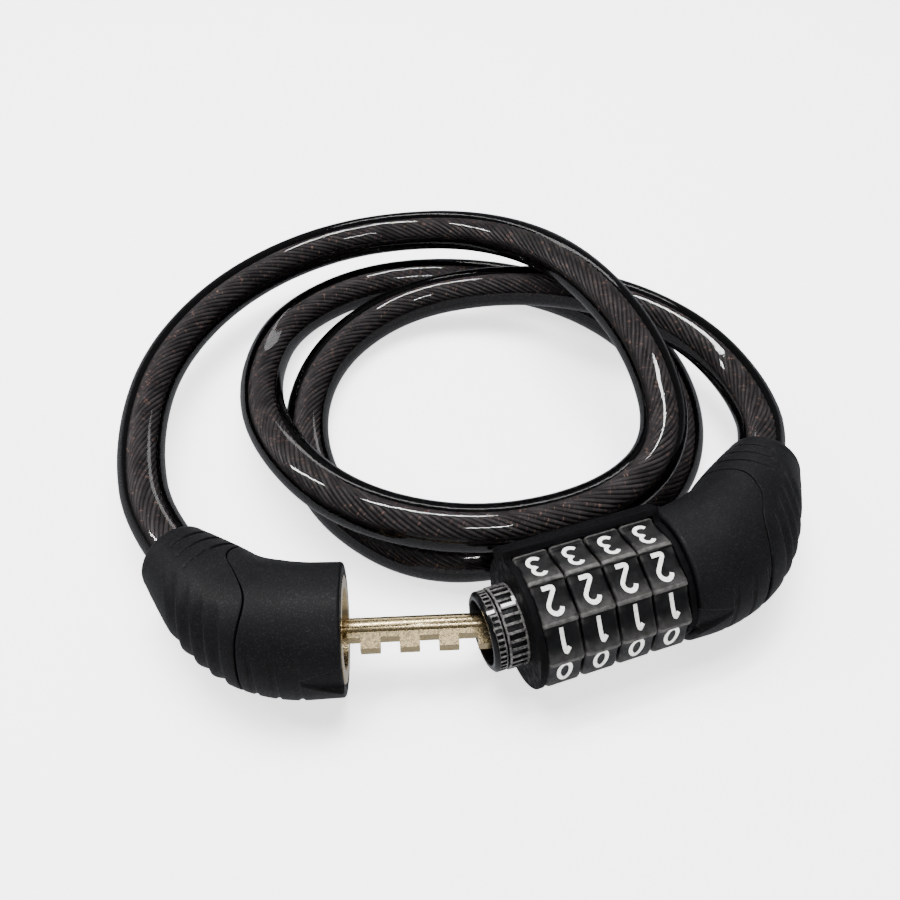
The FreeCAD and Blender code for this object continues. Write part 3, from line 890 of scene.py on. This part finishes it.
def number_ring(k):
    """One dial: ten hollow faces, each ending in a lip, with rounded sides."""
    steps = np.array([f * STEP + t for f in range(FACETS) for t in FACET_STEPS])
    t = np.tile(FACET_STEPS, FACETS)
    angle = np.radians(FIRST_EDGE + steps)
    radius = facet_radius(t)
    # the lip band is wear; the rise over the last part of each face towards the lip is a painted sheen
    lip = band(t, 32.0, 34.9, 0.7) + 0.4 * smoothstep(18, 32, t) * (t < 32)
    rows, wear_and_sheen = [], []
    x0 = dial_start(k)
    for side in (0, 1):
        for inward, inset, wear in SIDE_STEPS if side == 0 else reversed(SIDE_STEPS):
            x = x0 + inward if side == 0 else x0 + DIAL_WIDTH - inward
            if inset is None:
                r = np.full(len(t), RING_BORE_R)
            else:
                r = np.minimum(radius - inset, 14.8 + inward * 0.85)
            rows.append(np.stack([np.full(len(t), x), r * np.cos(angle), r * np.sin(angle)], 1))
            wear_and_sheen.append(np.maximum(wear * (radius > 14.3), lip * (0.0 if inset is None else 0.9)))
        if side == 0:
            for share in (0.25, 0.5, 0.75):
                x = x0 + share * DIAL_WIDTH
                rows.append(np.stack([np.full(len(t), x), radius * np.cos(angle), radius * np.sin(angle)], 1))
                wear_and_sheen.append(lip * 0.75)
    points = to_lock(np.concatenate(rows))
    piece = mesh_piece("number_dial_%d" % (k + 1), points, grid_faces(len(rows), len(t)))
    numbers(piece, "wear_and_sheen", np.concatenate(wear_and_sheen))
    dress(piece, "dial_black")
    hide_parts("number_ring_%d" % (k + 1))
    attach(piece, "dial_%d" % (k + 1))


def arc(cx, cy, rx, ry, a0, a1, count=18):
    """Points of an arc of an ellipse, between two angles in degrees."""
    for a in np.radians(np.linspace(a0, a1, count)):
        yield cx + rx * math.cos(a), cy + ry * math.sin(a)


def digit_stroke(d):
    """Centre line of a digit's stroke, upright, about 3 mm wide and 5.6 mm tall."""
    if d == 0:
        return list(arc(0, 0, 1.4, 2.6, 90, 450, 44))
    if d == 1:
        return [(-1.0, 1.45), (0.15, 2.7), (0.15, -2.9)]
    if d == 2:
        return [*arc(0, 1.25, 1.45, 1.4, 165, -25), (0.35, -0.6), (-1.35, -2.65), (1.55, -2.65)]
    if d == 3:
        return [*arc(0, 1.35, 1.3, 1.3, 150, -78), *arc(0, -1.3, 1.5, 1.4, 84, -150)]
    if d == 4:
        return [(0.7, -2.8), (0.7, 2.7), (-1.6, -1.2), (1.7, -1.2)]
    if d == 5:
        return [(1.35, 2.65), (-1.0, 2.65), (-1.2, 0.3), *arc(0, -0.95, 1.5, 1.7, 118, -145)]
    if d == 7:
        return [(-1.5, 2.6), (1.5, 2.6), (-0.4, -2.8)]
    if d == 8:
        return [(1.35 * math.sin(2 * a), 2.6 * math.cos(a)) for a in np.linspace(0.01, 2 * math.pi, 50)]
    six = [(0.85, 2.75), (-0.4, 1.6), *arc(0, -1.15, 1.4, 1.5, 150, 490, 40)]
    return six if d == 6 else [(-x, -y) for x, y in six]


def softened(points, rounds=2):
    """Cuts the corners of an open line."""
    points = np.array(points, float)
    for _ in range(rounds):
        near = points[:-1] * 0.78 + points[1:] * 0.22
        far = points[:-1] * 0.22 + points[1:] * 0.78
        points = np.vstack([points[:1], np.stack([near, far], 1).reshape(-1, 2), points[-1:]])
    return points


def ribbon(points, half):
    """Left and right edges of a stroke."""
    along = np.gradient(points, axis=0)
    along /= np.linalg.norm(along, axis=1)[:, None]
    normal = np.stack([-along[:, 1], along[:, 0]], 1)
    return points + normal * half, points - normal * half


def even(points, gap):
    """The same line with points an even gap apart."""
    run = run_of(points)
    count = max(int(run[-1] / gap), 2)
    at = np.linspace(0, run[-1], count)
    return np.stack([np.interp(at, run, points[:, k]) for k in (0, 1)], 1)


DIGIT_STRETCH = 1.1
DIGIT_LEAD = 3.2        # degrees from the middle of a face towards its lip
DIGIT_R = 14.4
STROKE_HALF = 0.45
STROKE_STEP = 0.22


def digits(k):
    """The ten painted numbers of one dial, as one thin piece."""
    centre = dial_start(k) + DIAL_WIDTH / 2
    points, faces = [], []
    under = -0.12           # the paint's edge is sunk, so no gap shows below it
    for d in range(FACETS):
        middle = FIRST_EDGE + 90 - STEP * d - DIGIT_LEAD
        line = even(softened(digit_stroke(d)), STROKE_STEP)
        left, right = ribbon(line, STROKE_HALF)
        rise = np.linspace(0.045, 0.065, len(line))
        rows = []
        sunk = np.full(len(line), under)
        for edge, height in ((left, rise), (right, rise), (right, sunk), (left, sunk)):
            angle = middle + np.degrees(edge[:, 1] * DIGIT_STRETCH / DIGIT_R)
            radius = facet_radius((angle - FIRST_EDGE) % STEP) + height
            a = np.radians(angle)
            rows.append(np.stack([centre - edge[:, 0], radius * np.cos(a), radius * np.sin(a)], 1))
        first = len(points)
        count = len(line)
        points.extend(np.concatenate(rows))
        faces += grid_faces(4, count, first, close_columns=False)
        faces.append(tuple(first + count * r for r in range(4)))
        faces.append(tuple(first + count * r + count - 1 for r in reversed(range(4))))
    piece = mesh_piece("digits_%d" % (k + 1), to_lock(points), faces)
    piece.data.polygons.foreach_set("use_smooth", [False] * len(piece.data.polygons))
    piece.data.materials.append(WHITE_PAINT)
    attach(piece, "dial_%d" % (k + 1))


for dial in range(4):
    number_ring(dial)
    digits(dial)


# ---------------------------------------------------------------- white marks on the ribbed rings
MARK_STEPS = 5
PAINT = 0.06


def ring_mark(name, body, bars):
    """Painted bars on a ribbed ring. A bar is (x0, x1, from degree, to degree, radius)."""
    points, faces = [], []
    for x0, x1, a0, a1, radius in bars:
        first = len(points)
        angles = np.radians(np.linspace(a0, a1, MARK_STEPS))
        for x in (x0, x1):
            for r in (radius + PAINT, radius - RIB_TOP):
                points.extend((x, r * math.cos(a), r * math.sin(a)) for a in angles)
        rows = [first + MARK_STEPS * k for k in (0, 1, 3, 2)]
        for i in range(4):
            low, high = rows[i], rows[(i + 1) % 4]
            for j in range(MARK_STEPS - 1):
                faces.append((low + j, low + j + 1, high + j + 1, high + j))
        for j in (0, MARK_STEPS - 1):
            faces.append(tuple(r + j for r in rows))
    piece = mesh_piece(name, to_lock(points), faces)
    piece.data.polygons.foreach_set("use_smooth", [False] * len(piece.data.polygons))
    piece.data.materials.append(WHITE_PAINT)
    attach(piece, body)


RING_BARS = [(-7.2, -5.5, 94.5, 99, RESET_R)]
COLLAR_BARS = [(-3.7, -0.5, 91, 95.5, COLLAR_R), (-0.9, -0.2, 83, 91, COLLAR_R)]
ring_mark("ring_mark", "reset_core", RING_BARS)
ring_mark("collar_mark", "lock_end", COLLAR_BARS)


# ---------------------------------------------------------------- CAD parts that show
def soften(node, width):
    """Small rounded edges on a CAD part."""
    weld = node.modifiers.new("weld", "WELD")
    weld.merge_threshold = 1e-6
    bevel = node.modifiers.new("edges", "BEVEL")
    bevel.width = width * MM
    bevel.segments = 2
    bevel.limit_method = "ANGLE"
    bevel.angle_limit = math.radians(35)


EDGE_WIDTHS = {"bolt": 0.28, "bolt_cup": 0.25, "reset_ring": 0.1, "index_collar": 0.1, "dial_frame": 0.25}
for name, width in EDGE_WIDTHS.items():
    soften(frame["nodes"][name], width)

for name, node in frame["nodes"].items():
    slot = next(s["material_slot"] for s in frame["record"]["subparts"] if s["node"] == name)
    dress(node, slot)
